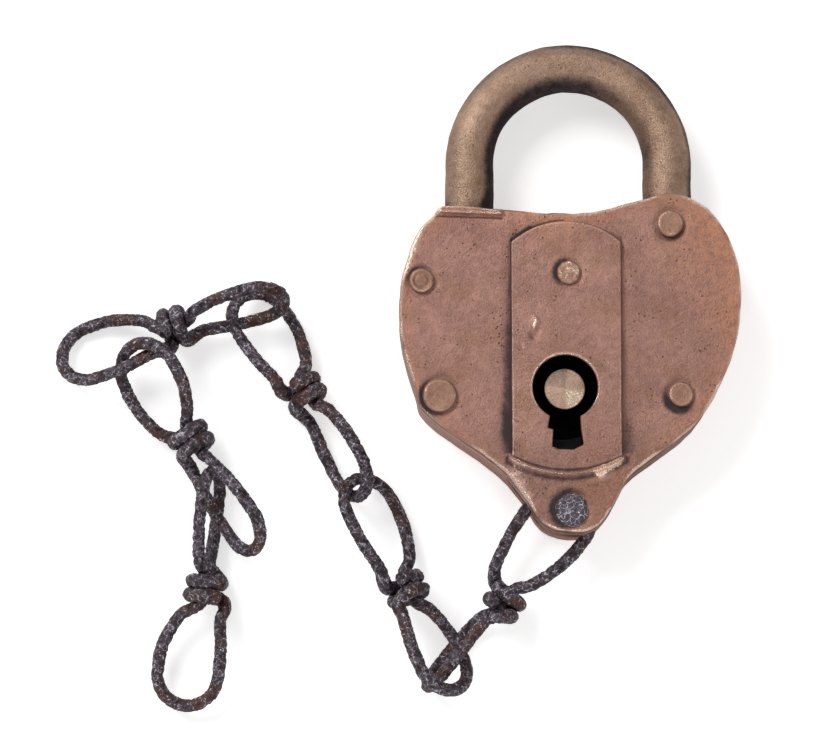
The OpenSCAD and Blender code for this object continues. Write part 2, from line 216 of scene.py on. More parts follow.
def fine_path(corners, steps=200):
    """A closed path with many points along each of its straight sides."""
    a = np.asarray(corners, float)
    t = (np.arange(steps) / steps)[None, :, None]
    return ((1 - t) * a[:, None] + t * np.roll(a, -1, 0)[:, None]).reshape(-1, 2)


def ring_reach(centre, radius, angles):
    """The far crossing of a ray from the hub with a circle, or a great way if it misses."""
    d = np.stack([np.cos(angles), np.sin(angles)], -1)
    off = np.array(centre) - HUB
    along = d @ off
    inside = along**2 - off @ off + radius**2
    return np.where(inside > 0, along + np.sqrt(np.maximum(inside, 0)), 1e3)


def keyhole_reach(angles):
    """Whichever lies further out, the round of the keyhole or its slot."""
    slot = reach_of(fine_path(KEYHOLE_SLOT), angles)
    return np.maximum(ring_reach((0, 0), KEYHOLE_R, angles), slot)


def panel_reach(angles):
    """The nearest of the panel's two upright sides, its arched head and its curved foot."""
    c, s = np.cos(angles), np.sin(angles)
    side = np.where(c > 0, PANEL_X[1], PANEL_X[0]) / np.where(np.abs(c) < 1e-9, 1e-9, c)
    head = ring_reach(PANEL_HEAD[:2], PANEL_HEAD[2], angles)
    foot = ring_reach(PANEL_FOOT[:2], PANEL_FOOT[2], angles)
    return np.minimum(np.abs(side), np.where(s > 0, head, foot))


def noise(p, size, seed=0):
    """Smooth noise from -1 to 1: a repeatable value at each corner of a cubic lattice of
    the given size, blended across the cell by a smooth cubic in each direction."""
    q = np.asarray(p, float) / size + 1000
    cell = np.floor(q).astype(np.int64)
    f = q - cell
    f = f * f * (3 - 2 * f)
    total = 0.0
    for corner in np.ndindex(2, 2, 2):
        c = cell + np.array(corner)
        h = (c[..., 0] * 73856093) ^ (c[..., 1] * 19349663) ^ (c[..., 2] * 83492791)
        h = ((h + seed * 7919) * 2654435761) & 0xFFFFFFFF
        h = (((h >> 15) ^ h) * 2246822519) & 0xFFFFFFFF
        weight = np.prod(np.where(corner, f, 1 - f), axis=-1)
        total = total + weight * (((h >> 13) & 0xFFFF) / 32767.5 - 1)
    return total


def ease(low, high, x):
    """0 below low, 1 above high and a smooth cubic between."""
    t = np.clip((x - low) / (high - low), 0, 1)
    return t * t * (3 - 2 * t)


def spot(p, centre, radius):
    """A soft round hill of height 1 about a place on the plate."""
    d = np.hypot(p[..., 0] - centre[0], p[..., 1] - centre[1])
    return np.exp(-((d / radius) ** 2))


def crescent(p, centre, radius, width, towards):
    """A soft ring round a rivet, strongest on the side that faces the given angle."""
    dx, dy = p[..., 0] - centre[0], p[..., 1] - centre[1]
    d = np.hypot(dx, dy)
    side = (dx * np.cos(radians(towards)) + dy * np.sin(radians(towards))) / np.maximum(d, 1e-6)
    return np.exp(-(((d - radius) / width) ** 2)) * np.clip(0.5 + 0.5 * side, 0, 1) ** 1.5


def band(p, a, b, width):
    """A soft band of height 1 along the straight line from a to b, round if they agree."""
    a, b = np.array(a, float), np.array(b, float)
    t = np.clip(((p[..., :2] - a) @ (b - a)) / max((b - a) @ (b - a), 1e-9), 0, 1)
    d = np.linalg.norm(p[..., :2] - a - t[..., None] * (b - a), axis=-1)
    return np.exp(-((d / width) ** 2))


def laid(p, marks):
    """The sum of soft marks, each of a strength, a width and one place or two."""
    return sum(high * band(p, ends[0], ends[-1], width) for high, width, *ends in marks)


def hump(x, middle, width):
    """A soft ridge of height 1 where x is the middle."""
    return np.exp(-(((x - middle) / width) ** 2))


def close_rings(rings, name, closed_tube=False):
    """A mesh from rings of points that each run round and close. A tube's ends are closed
    by a fan about their middle, or its last ring is joined to its first."""
    rows, cols = rings.shape[:2]
    bands = rows if closed_tube else rows - 1
    r, c = np.meshgrid(np.arange(bands), np.arange(cols), indexing="ij")
    nxt, beside = (r + 1) % rows, (c + 1) % cols
    faces = np.stack(
        [r * cols + c, r * cols + beside, nxt * cols + beside, nxt * cols + c], -1
    ).reshape(-1, 4)
    points = rings.reshape(-1, 3)
    faces = faces.tolist()
    if not closed_tube:
        ends = np.stack([rings[0].mean(0), rings[-1].mean(0)])
        first, last = len(points), len(points) + 1
        here, ahead = np.arange(cols), np.roll(np.arange(cols), -1)
        base = (rows - 1) * cols
        faces += np.stack([ahead, here, np.full(cols, first)], -1).tolist()
        faces += np.stack([base + here, base + ahead, np.full(cols, last)], -1).tolist()
        points = np.vstack([points, ends])
    mesh = bpy.data.meshes.new(name)
    mesh.from_pydata((points * MM).tolist(), [], faces)
    return mesh


def keep_masks(mesh, dark, bright, warm, blackened=0.0):
    """Keeps four masks on a mesh's points: dirt and painted shade, bare bright metal and
    painted highlight, warm colour, and the near-black of the inside."""
    masks = np.stack(np.broadcast_arrays(dark, bright, warm, blackened), -1).clip(-0.3, 1)
    kept = mesh.attributes.new("wear_and_light", "FLOAT_COLOR", "POINT")
    kept.data.foreach_set("color", masks.astype(np.float32).ravel())


def points_of(mesh):
    """All points of a mesh in millimetres."""
    flat = np.empty(len(mesh.vertices) * 3, np.float32)
    mesh.vertices.foreach_get("co", flat)
    return flat.reshape(-1, 3).astype(float) / MM


def normals_of(mesh):
    """The direction that the surface faces at each point of a mesh."""
    flat = np.empty(len(mesh.vertices) * 3, np.float32)
    mesh.vertex_normals.foreach_get("vector", flat)
    return flat.reshape(-1, 3).astype(float)


def set_piece(name, mesh, finish, body, nodes):
    """Turns a mesh's faces outwards and puts the piece in the frame."""
    work = bmesh.new()
    work.from_mesh(mesh)
    bmesh.ops.recalc_face_normals(work, faces=work.faces)
    work.to_mesh(mesh)
    work.free()
    mesh.polygons.foreach_set("use_smooth", np.ones(len(mesh.polygons), bool))
    mesh.materials.append(finish)
    piece = bpy.data.objects.new(name, mesh)
    bpy.context.scene.collection.objects.link(piece)
    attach(piece, body)
    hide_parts(*nodes)
    return piece


class Value:
    """A socket of a finish; arithmetic on it adds Math nodes."""

    def __init__(self, finish, socket):
        self.finish, self.socket = finish, socket

    def _math(self, operation, *values):
        return self.finish.node("Math", {"operation": operation}, *values)

    def __add__(self, other):
        return self._math("ADD", self, other)

    def __sub__(self, other):
        return self._math("SUBTRACT", self, other)

    def __rsub__(self, other):
        return self._math("SUBTRACT", other, self)

    def __mul__(self, other):
        return self._math("MULTIPLY", self, other)

    __radd__ = __add__
    __rmul__ = __mul__


class Finish:
    """A material that is being mixed. Places are in millimetres on the piece."""

    def __init__(self, name):
        self.material = bpy.data.materials.new(name)
        self.material.use_nodes = True
        self.nodes = self.material.node_tree.nodes
        self.links = self.material.node_tree.links
        self.shader = self.nodes["Principled BSDF"]
        at = self.node("TexCoord", {}, out="Object")
        self.place = self.node("VectorMath", {"operation": "SCALE"}, at, Scale=1 / MM, out=0)

    def node(self, kind, settings, *values, out=0, **named):
        """Any node: its type, its settings, then what its sockets take; gives one output."""
        made = self.nodes.new("ShaderNode" + kind)
        for key, value in settings.items():
            setattr(made, key, value)
        for key, value in list(enumerate(values)) + list(named.items()):
            self.feed(made.inputs[key], value)
        return Value(self, made.outputs[out])

    def feed(self, socket, value):
        """Links a value to a socket, or sets it there; a colour is red, green and blue."""
        if isinstance(value, Value):
            self.links.new(value.socket, socket)
        else:
            socket.default_value = (*value, 1) if socket.type == "RGBA" else value

    def noise(self, size, detail=3.0, rough=0.55, at=None):
        """Cloudy noise, 0 to 1, with blotches of about the given size."""
        sockets = {"Scale": 1 / size, "Detail": detail, "Roughness": rough}
        return self.node("TexNoise", {}, at or self.place, out="Fac", **sockets)

    def cells(self, size, feature="F1"):
        """The distance to the nearest of many scattered points, or to the borders of the
        cells round them."""
        settings = {"feature": feature}
        return self.node("TexVoronoi", settings, self.place, out="Distance", Scale=1 / size)

    def ease(self, value, low, high):
        """0 below low, 1 above high, smooth between."""
        settings = {"interpolation_type": "SMOOTHSTEP"}
        return self.node("MapRange", settings, value, low, high, 0.0, 1.0)

    def blend(self, share, under, over):
        """The over colour laid on the under colour by its share."""
        made = self.nodes.new("ShaderNodeMix")
        made.data_type = "RGBA"
        self.feed(made.inputs[0], share)
        self.feed(made.inputs[6], under)
        self.feed(made.inputs[7], over)
        return Value(self, made.outputs[2])

    def wear_and_light(self):
        """The dirt and painted shade, bare metal and painted highlight, warmth and near-black
        insides kept on the piece's points.
        """
        kept = self.node("Attribute", {"attribute_name": "wear_and_light"}, out="Color")
        split = self.node("SeparateColor", {}, kept)
        parts = split.socket.node.outputs
        alpha = kept.socket.node.outputs["Alpha"]
        return [Value(self, part) for part in [parts[0], parts[1], parts[2], alpha]]

    def done(self, colour, roughness, height, depth, **steady):
        """Feeds the shader: colour, roughness, and relief of a depth in millimetres."""
        self.feed(self.shader.inputs["Base Color"], colour)
        self.feed(self.shader.inputs["Roughness"], roughness)
        bump = self.node("Bump", {}, Distance=depth * MM, Strength=1.0, Height=height)
        self.feed(self.shader.inputs["Normal"], bump)
        for key, value in steady.items():
            self.feed(self.shader.inputs[key.replace("_", " ")], value)
        return self.material


def cast_bronze(name, pale, deep, brown, patina, bare, warm, metal=0.78, pit=1.0):
    """Matte bronze: two blended tones, fine dark pits, dirt and painted shade, bare flecks,
    painted highlight and warm areas.
    """
    f = Finish(name)
    dark, bright, rosy, blackened = f.wear_and_light()
    clouds = f.noise(9.0, 4.0)
    mottle = f.noise(1.3, 4.0, 0.6)
    grain = f.noise(0.30, 3.0, 0.65)
    pits = 1 - f.ease(f.cells(0.75), 0.08, 0.24)
    chosen = f.ease(f.noise(2.6, 2.0), 0.52, 0.66)
    pits = pits * chosen * pit
    flecks = f.ease(grain + bright * 0.55, 0.80, 0.98)
    tone = f.blend(f.ease(clouds * 0.5 + mottle * 0.5, 0.32, 0.68), deep, pale)
    tone = f.blend(f.ease(f.noise(5.0, 4.0, 0.6), 0.48, 0.66) * 0.6, tone, brown)
    tone = f.blend(rosy * f.ease(mottle, 0.2, 0.7), tone, warm)
    # Bare metal where the bright mask lies: rubbed wear, and painted highlight where a piece's
    # mask carries one.
    tone = f.blend(f.ease(bright, 0.0, 1.0) * 0.42, tone, bare)
    # Dark mask: dirt, and painted shade where a piece's mask carries it.
    grime_and_shade = f.ease(dark + (mottle - 0.5) * 0.55 + (grain - 0.5) * 0.35, 0.20, 0.90)
    tone = f.blend(grime_and_shade, tone, patina)
    tone = f.blend(pits * 0.75, tone, patina)
    tone = f.blend(f.ease(grain, 0.50, 0.68) * 0.30, tone, patina)
    tone = f.blend(flecks, tone, bare)
    tone = f.blend(blackened, tone, (0.006, 0.005, 0.005))
    roughness = 0.47 + grime_and_shade * 0.20 - flecks * 0.20 - bright * 0.10 + (mottle - 0.5) * 0.2
    height = mottle * 0.30 - grain * 0.9 - pits * 1.2 + flecks * 0.3
    return f.done(tone, roughness, height, 0.17, Metallic=metal)


cover_bronze = cast_bronze(
    "cover_bronze",
    pale=(0.55, 0.305, 0.236),
    deep=(0.36, 0.190, 0.156),
    brown=(0.36, 0.190, 0.125),
    patina=(0.080, 0.054, 0.058),
    bare=(1.00, 0.70, 0.56),
    warm=(0.62, 0.285, 0.165),
)


def cover_angles(count):
    """Bearings that space the case's outline evenly, with the corners of the panel and of
    the keyhole among them so that they stay sharp."""
    path = case_outline()
    path = np.vstack([path, path[:1]])
    along = np.r_[0, np.cumsum(np.linalg.norm(np.diff(path, axis=0), axis=1))]
    even = np.linspace(0, along[-1], count, endpoint=False)
    spaced = np.stack([np.interp(even, along, path[:, i]) for i in (0, 1)], -1)
    head_y = PANEL_HEAD[1] + (PANEL_HEAD[2] ** 2 - (PANEL_X[1] - PANEL_HEAD[0]) ** 2) ** 0.5
    foot_y = PANEL_FOOT[1] - (PANEL_FOOT[2] ** 2 - (PANEL_X[1] - PANEL_FOOT[0]) ** 2) ** 0.5
    corners = [(x, y) for x in PANEL_X for y in (head_y, foot_y)] + KEYHOLE_SLOT[1:-1]
    fixed = bearing(corners)
    free = bearing(spaced)
    apart = np.abs((free[:, None] - fixed + np.pi) % (2 * np.pi) - np.pi).min(1)
    return np.sort(np.r_[fixed, free[apart > 0.003]])


# Marks on the cover are (strength, width, place) or (strength, width, from, to). These are
# the lump on the panel, pits beside it and on the right, scratches and the lip's groove.
CREASES = [
    (0.55, 0.48, (-4.85, 11.2), (-5.2, 10.1)), (-0.50, 0.62, (-5.25, 8.6)),
    (-0.22, 0.4, (-4.45, 9.7)), (-0.15, 0.35, (-7.2, 6.9)), (-0.30, 0.32, (19, 12.5)),
    (-0.10, 0.14, (18.2, 9.9), (19.9, 10.8)), (-0.10, 0.12, (6.2, 19), (7.9, 18.4)),
    (-0.30, 0.28, (LIP[0], LIP[2] - 0.1), (LIP[1], LIP[2] - 0.6)),
]
# Crumbled or beaten: above the tongue at the left, the foot's right end and the top left.
CHIPPED = [(1, 4, (-7.5, -15.5)), (1, 2.4, (8.6, -12.6)), (1, 1.3, (-24.4, 27.5), (-26.6, 20.5))]
SEATS = [  # place and radius of the hollow round each head
    (RIVET_UPPER_LEFT, 2.3), (RIVET_LOWER_LEFT, 3.05), (RIVET_LOWER_RIGHT, 2.25),
    (PIVOT, 2.35), (STUB, 2.1), (CHAIN_RIVET, 2.95),
]
HEAD_DIRT = [  # strength, place, radius, width, side on which it lies thickest
    (0.75, PIVOT, 2.4, 0.8, 290), (0.85, RIVET_UPPER_LEFT, 2.3, 0.6, 130),
    (0.95, RIVET_LOWER_LEFT, 3.1, 0.6, 190), (1.00, RIVET_LOWER_RIGHT, 2.5, 0.9, 235),
    (0.90, STUB, 2.2, 0.8, 150), (0.60, CHAIN_RIVET, 3.0, 0.7, 170),
]
PLATE_STAINS_AND_SHADE = [  # stains, and painted shade below the lip
    (0.40, 3.2, (0, 18.2)), (0.34, 5, (23.5, 7.5)), (0.26, 4.5, (13, 24.5)),
    (0.16, 7, (-14, 8)), (0.20, 5, (8.2, 6)), (0.65, 0.28, (-22, 29.1), (-10.4, 28.75)),
]
RUBBED_AND_HIGHLIT = [  # the foot's right end, partly rubbed and partly painted highlight; the top left corner, tongue, lip and lump, rubbed
    (1.0, 0.9, (8.9, -12.4), (6, -14)), (0.5, 1.4, (5.5, -14.6)),
    (0.95, 1, (-24.2, 28.3), (-26.8, 20)), (0.55, 1.5, (-8.2, -13), (-6.4, -19.5)),
    (0.75, 0.22, (-21.6, 29.9), (-10.6, 29.5)), (1.1, 0.5, (-4.85, 11.3), (-5.2, 10.2)),
    (0.5, 0.5, (-7.1, 7.2)),
]
WARMED = [  # where the metal is more orange
    (0.85, 7.5, (25.5, 26)), (0.55, 6, (28, 12)), (0.55, 6, (-1, 30.5)), (0.65, 7, (6, -17)),
    (0.35, 6, (24, -4)),
]


def cover_relief(p):
    """How far the cast surface stands proud of a true plane, in millimetres: slow waves,
    the lip at the top left, hollows round the rivets, a lump, dents and worn edges."""
    flat = np.concatenate([p[..., :2], np.zeros_like(p[..., :1])], -1)
    waves = 0.07 * noise(flat, 9) + 0.035 * noise(flat, 2.7, 1)
    waves = waves + 0.018 * noise(flat, 0.9, 2)
    wobble = 0.12 * noise(flat, 1.3, 3)
    x, y = p[..., 0] + wobble, p[..., 1] + wobble
    x0, x1, y0 = LIP
    lip = ease(x0 - 0.2, x0 + 0.2, x) * ease(x1 + 0.2, x1 - 0.2, x)
    lip = lip * ease(y0 - 0.16, y0 + 0.12, y + 0.045 * (p[..., 0] + 16))
    high = waves + 0.62 * lip + laid(p, CREASES)
    for place, radius in SEATS:
        d = np.hypot(p[..., 0] - place[0], p[..., 1] - place[1])
        high = high - 0.16 * hump(d, radius, 0.55)
    return high + 0.11 * laid(p, CHIPPED) * noise(flat, 0.7, 4)


def cover_stains(p, out_edge, off):
    """Dirt and painted shade, bare metal and painted highlight, and warm colour of the cover.
    out_edge and off are the distances in from the case's outline and outwards from the
    panel's edge."""
    flat = np.concatenate([p[..., :2], np.zeros_like(p[..., :1])], -1)
    x, y, z = p[..., 0], p[..., 1], p[..., 2]
    foot, above_foot = y < -11.5, y > -11
    on_side = (out_edge < 0.3) & (z < PLATE_Z - 0.7)
    dark = (
        # Beside the panel's left edge: a thin dark line and a soft dark band further out.
        (0.58 * hump(off, 0.28, 0.22) + 0.30 * hump(off, 0.9, 0.8)) * (x < 0) * above_foot
        # Painted shade on the panel's right flank and beside it.
        + 0.26 * hump(off, 1.0, 1.1) * (x > 0) * above_foot
        # Painted shade: darker towards the bottom, less so on the panel.
        - 0.14 * (off < -0.4) * ease(-13, -4, y) + 0.44 * ease(2, -13, y)
        + 0.62 * band(p, (-8.7, 25.1), (-5.8, 27.0), 0.5) * (off > -0.3)
        # A soft dark band down the left of the panel.
        + 0.35 * band(p, (-9.8, 24), (-9.8, -8), 1.3) * (off > 0)
        + 0.25 * spot(p, (0.5, 8.5), 4) * (off < 0)
        # Painted shade along the panel's foot: a dark line where its rounded edge begins and a
        # band on the plate below its lit slope.
        + (0.40 * hump(off, -0.32, 0.2) + 0.35 * hump(off, 1.05, 0.4)) * foot
        + 0.75 * on_side * hump(z, SEAM_Z, 0.35) + laid(p, PLATE_STAINS_AND_SHADE)
    )
    for strength, *ring in HEAD_DIRT:
        dark = dark + strength * crescent(p, *ring)
    # Bright along the rim: partly rubbed bare metal on the filed edges, partly painted highlight.
    bright = 1.05 * hump(out_edge, 0, 0.55) * ease(-0.8, -0.4, z - PLATE_Z)
    bright = bright * (0.8 + 0.5 * noise(flat, 2.4, 5)) + laid(p, RUBBED_AND_HIGHLIT)
    # A bright line inside the panel's raised edge, partly rubbed and partly painted highlight;
    # along the foot, painted highlight on its lit slope.
    bright = bright + 0.62 * hump(off, -0.16, 0.2) * ~foot + 1.0 * hump(off, 0.15, 0.2) * foot
    key_edge = np.linalg.norm(p[..., :2] - HUB, axis=-1) - keyhole_reach(bearing(p))
    bright = bright + 0.8 * hump(key_edge, 0.2, 0.22) * (y > -3)
    return dark, bright * (dark < 0.8), 0.5 * hump(out_edge, 0, 2.2) + laid(p, WARMED)


def front_cover():
    """A round-and-out grid: columns are bearings from the hub, and rows go up the wall of
    the keyhole, over the panel and down its flank, out across the plate, over its edge,
    down its side and back underneath."""
    angle = cover_angles(560)
    key, panel = keyhole_reach(angle), panel_reach(angle)
    edge = reach_of(case_outline(), angle)
    ray = np.stack([np.cos(angle), np.sin(angle)], -1)
    at_edge = HUB + edge[:, None] * ray
    nick = np.c_[at_edge, np.zeros(len(angle))]
    rim = edge + 0.09 * noise(nick, 1.6, 6) + 0.07 * noise(nick, 5, 7) - 0.08
    flank = 0.28 + 0.82 * ease(6, 9, HUB[0] + panel * ray[:, 0]) * (ray[:, 1] > -0.5)
    flank = flank + 0.50 * ease(-0.55, -0.75, ray[:, 1])
    soft, rim_soft = 0.3, 0.62      # rounding of the panel's edges and of the rim
    rows = []  # (reach, height, share of the relief)
    for z in np.linspace(SEAM_Z, PANEL_Z - soft, 5):
        rows.append((key, z, 0))
    for a in np.linspace(0, np.pi / 2, 5)[1:]:
        rows.append((key + soft * (1 - np.cos(a)), PANEL_Z - soft * (1 - np.sin(a)), 1))
    for t in np.linspace(0, 1, 46)[1:-1]:
        rows.append((key + soft + t * (panel - 0.62 - key), PANEL_Z, 1))
    for a in np.linspace(0, np.pi / 2, 6):
        rows.append((panel - 0.32 + soft * np.sin(a), PANEL_Z - soft * (1 - np.cos(a)), 1))
    drop = PANEL_Z - soft - PLATE_Z
    for a in np.linspace(0, np.pi / 2, 8):
        rows.append((panel - 0.02 + flank * (1 - np.cos(a)), PLATE_Z + drop * (1 - np.sin(a)), 1))
    foot_of_flank = panel - 0.02 + flank
    brink = np.maximum(rim - 5.5, foot_of_flank + 0.35 * (rim - foot_of_flank))
    for t in np.linspace(0, 1, 36)[1:]:
        rows.append((foot_of_flank + t * (brink - foot_of_flank), PLATE_Z, 1))
    for t in np.linspace(0, 1, 28)[1:]:
        rows.append((brink + t * (rim - rim_soft - brink), PLATE_Z, 1))
    for a in np.linspace(0, np.pi / 2, 8)[1:]:
        over = PLATE_Z - rim_soft * (1 - np.cos(a))
        rows.append((rim - rim_soft * (1 - np.sin(a)), over, 0.6))
    under = np.where(at_edge[:, 1] < PAD_TOP_Y, PAD_Z, SEAM_Z)
    side_top = PLATE_Z - rim_soft
    for t in np.linspace(0, 1, 6)[1:]:
        rows.append((rim + 0.1 * t, side_top + t * (under + 0.2 - side_top), 0))
    rows.append((rim - 0.12, under, 0))
    for t in np.linspace(0, 1, 14)[1:]:
        reach = rim - 0.12 - t * (rim - 0.14 - key)
        y = HUB[1] + reach * ray[:, 1]
        rows.append((reach, np.where(y < PAD_TOP_Y, PAD_Z, SEAM_Z), 0))
    reach = np.stack([np.broadcast_to(r, angle.shape) for r, _, _ in rows])
    height = np.stack([np.broadcast_to(z, angle.shape) for _, z, _ in rows])
    share = np.array([s for _, _, s in rows])[:, None]
    xy = HUB + reach[..., None] * ray
    p = np.concatenate([xy, height[..., None]], -1)
    p[..., 2] += share * cover_relief(p)
    return p, cover_stains(p, np.abs(rim - reach), reach - panel)


rings, stains = front_cover()
cover_mesh = close_rings(rings, "cover_casting", closed_tube=True)
far = np.linalg.norm(rings[..., :2] - HUB, axis=-1)
# Near-black on the keyhole's wall below the panel's top.
inside = (rings[..., 2] < PANEL_Z - 0.5) & (far < keyhole_reach(bearing(rings)) + 0.05)
keep_masks(cover_mesh, *[s.ravel() for s in stains], blackened=inside.ravel())
set_piece("cover_casting", cover_mesh, cover_bronze, "case", ["front_cover"])

# ------------------------------------------- the rear case
# The deep half of the casting: back plate and side wall in one, with the slot in its
# tongue for the chain and two openings at the top for the shackle. Left as cast.
rear_bronze = cast_bronze(
    "rear_bronze",
    pale=(0.46, 0.250, 0.185),
    deep=(0.29, 0.155, 0.125),
    brown=(0.30, 0.155, 0.100),
    patina=(0.070, 0.050, 0.055),
    bare=(0.88, 0.58, 0.42),
    warm=(0.56, 0.250, 0.150),
)
REAR_GRAIN = 0.36
SPRING_POCKET = (-2, 9.5, 10.4, 3.2)    # its middle and half width in x, then in z
POCKET_DEPTH = 0.5
WALL_INSIDE_Y = 27.2


def cast_copy(node, voxel, name):
    """A copy of a machined shape as a sand casting: rebuilt in small cells, which rounds
    its edges, then smoothed a little."""
    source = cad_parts[node]
    draft = bpy.data.objects.new(name + "_draft", source.data.copy())
    bpy.context.scene.collection.objects.link(draft)
    weld = draft.modifiers.new("weld", "WELD")
    weld.merge_threshold = 0.002 * MM
    cells = draft.modifiers.new("cells", "REMESH")
    cells.mode = "VOXEL"
    cells.voxel_size = voxel * MM
    soften = draft.modifiers.new("soften", "SMOOTH")
    soften.factor = 0.5
    soften.iterations = 3
    bpy.context.view_layer.update()
    shaped = draft.evaluated_get(bpy.context.evaluated_depsgraph_get())
    made = bpy.data.meshes.new_from_object(shaped)
    made.name = name
    made.materials.clear()
    for old in [a for a in made.attributes if a.name in ("UVMap", "sharp_face", "custom_normal")]:
        made.attributes.remove(old)
    bpy.data.objects.remove(draft)
    return made


rear_mesh = cast_copy("rear_case", REAR_GRAIN, "rear_casting")
p, n = points_of(rear_mesh), normals_of(rear_mesh)
swell = 0.05 * noise(p, 6, 11) + 0.05 * noise(p, 1.8, 12)
off_bench = np.where((p[:, 2] > 1.0)[:, None], [1, 1, 1], [1, 1, 0])
p = p + n * (swell - 0.03)[:, None] * off_bench
mid_x, half_x, mid_z, half_z = SPRING_POCKET
pocket = ease(half_x, half_x - 1.5, np.abs(p[:, 0] - mid_x))
pocket = pocket * ease(half_z, half_z - 0.6, np.abs(p[:, 2] - mid_z))
p[:, 1] += POCKET_DEPTH * pocket * (n[:, 1] < -0.5) * (np.abs(p[:, 1] - WALL_INSIDE_Y) < 1.2)
rear_mesh.vertices.foreach_set("co", (p * MM).astype(np.float32).ravel())
wall = 1 - np.abs(n[:, 2])
seam = hump(p[:, 2], 12.3, 0.4) * wall
# Painted shade on the wall's lower right: it is darker and less orange there.
low_right = ease(4, 12, p[:, 0]) * ease(2, -6, p[:, 1]) * wall
# Painted highlights along two lines of the wall; the wall's left side also gets a painted
# highlight.
ridges = 0.6 * hump(p[:, 2], 10.6, 0.4) + 0.5 * hump(p[:, 2], 0.5, 0.5)
from_wall = reach_of(case_outline(), bearing(p)) - np.linalg.norm(p[:, :2] - HUB, axis=1)
keep_masks(
    rear_mesh,
    0.18 + 0.20 * low_right + 0.8 * seam + 0.2 * noise(p, 7, 13),
    wall * (0.15 * (p[:, 0] < 0) + ridges),
    0.5 * wall * (1 - low_right),
    blackened=(p[:, 2] > 1.2) * (from_wall > 1.6) * (p[:, 1] > PAD_TOP_Y),
)
set_piece("rear_casting", rear_mesh, rear_bronze, "case", ["rear_case"])

# ---------------------------------------------- the rivets
# Bronze rivets through cover and case, flush at the back and hammered over in front,
# each a little differently. The one at the upper right is the shackle's pivot.
rivet_bronze = cast_bronze(
    "rivet_bronze",
    pale=(0.44, 0.255, 0.190),
    deep=(0.31, 0.172, 0.128),
    brown=(0.36, 0.205, 0.140),
    patina=(0.085, 0.058, 0.052),
    bare=(0.95, 0.68, 0.50),
    warm=(0.56, 0.290, 0.180),
    pit=0.4,
)
RIVETS = [  # name, node, place, shank radius, head radius, lean of the head
    ("pivot_rivet", "shackle_pivot_rivet", PIVOT, 1.9, 2.25, 0.02),
    ("rivet_upper_left", "case_rivet_upper_left", RIVET_UPPER_LEFT, 1.5, 2.1, -0.02),
    ("rivet_lower_left", "case_rivet_lower_left", RIVET_LOWER_LEFT, 1.5, 2.85, 0.03),
    ("rivet_lower_right", "case_rivet_lower_right", RIVET_LOWER_RIGHT, 1.5, 2.1, 0.02),
]
HEAD_H = 0.75


def turned(profile, centre, columns=80, step=0.1):
    """Rings of a profile of [radius, height] turned about an upright axis, with points a
    step apart along it."""
    line = np.asarray(profile, float)
    along = np.r_[0, np.cumsum(np.linalg.norm(np.diff(line, axis=0), axis=1))]
    at = np.linspace(0, along[-1], int(along[-1] / step) + 2)
    r, z = (np.interp(at, along, line[:, i])[:, None] for i in (0, 1))
    a = np.linspace(0, 2 * np.pi, columns, endpoint=False)[None]
    return np.stack([centre[0] + r * np.cos(a), centre[1] + r * np.sin(a), z + 0 * a], -1)


def rivet(place, shank, head, lean, seed):
    """A flush shank and a bevelled head whose edge is not quite round and whose top is
    dished, hammered and leans slightly."""
    top = PLATE_Z + HEAD_H
    p = turned(
        [(0.02, 0.03), (shank - 0.2, 0.03), (shank, 0.2), (shank, PLATE_Z - 0.4),
         (head - 0.05, PLATE_Z - 0.4), (head, PLATE_Z + 0.3), (head - 0.12, top - 0.16),
         (head - 0.42, top), (0.02, top - 0.06)],
        place,
    )
    d = p[..., :2] - np.array(place)
    far = np.linalg.norm(d, axis=-1)
    turn = 1.5 * np.concatenate([d, 0 * d[..., :1]], -1) / np.maximum(far, 0.1)[..., None]
    over = p[..., 2] > PLATE_Z - 0.5
    p[..., :2] += d * (0.035 * noise(turn, 1.1, seed) * over)[..., None]
    beaten = 0.05 * noise(p, 1.0, seed) + 0.02 * noise(p, 0.4, seed + 1)
    beaten = beaten + lean * d[..., 0] - 0.5 * lean * d[..., 1]
    p[..., 2] += (p[..., 2] > PLATE_Z + 0.25) * beaten
    return p, far


for seed, (name, node, place, shank, head, lean) in enumerate(RIVETS, 20):
    rings, far = rivet(place, shank, head, lean, seed)
    if node == "case_rivet_upper_left":
        rings[..., 2] -= 0.14 * hump(far, 1.15, 0.22) * (rings[..., 2] > PLATE_Z)
    mesh = close_rings(rings, name)
    p = points_of(mesh)
    far = np.hypot(p[:, 0] - place[0], p[:, 1] - place[1])
    up = p[:, 2] > PLATE_Z + 0.35
    rim = hump(far, head - 0.32, 0.22) * up
    keep_masks(
        mesh,
        0.8 * ease(PLATE_Z + 0.45, PLATE_Z - 0.1, p[:, 2]) + 0.12,
        0.62 * rim * (0.7 + 0.5 * noise(p, 1.4, seed)) + 0.06 * up,
        0.3 * up,
    )
    set_piece(name, mesh, rivet_bronze, "case", [node])

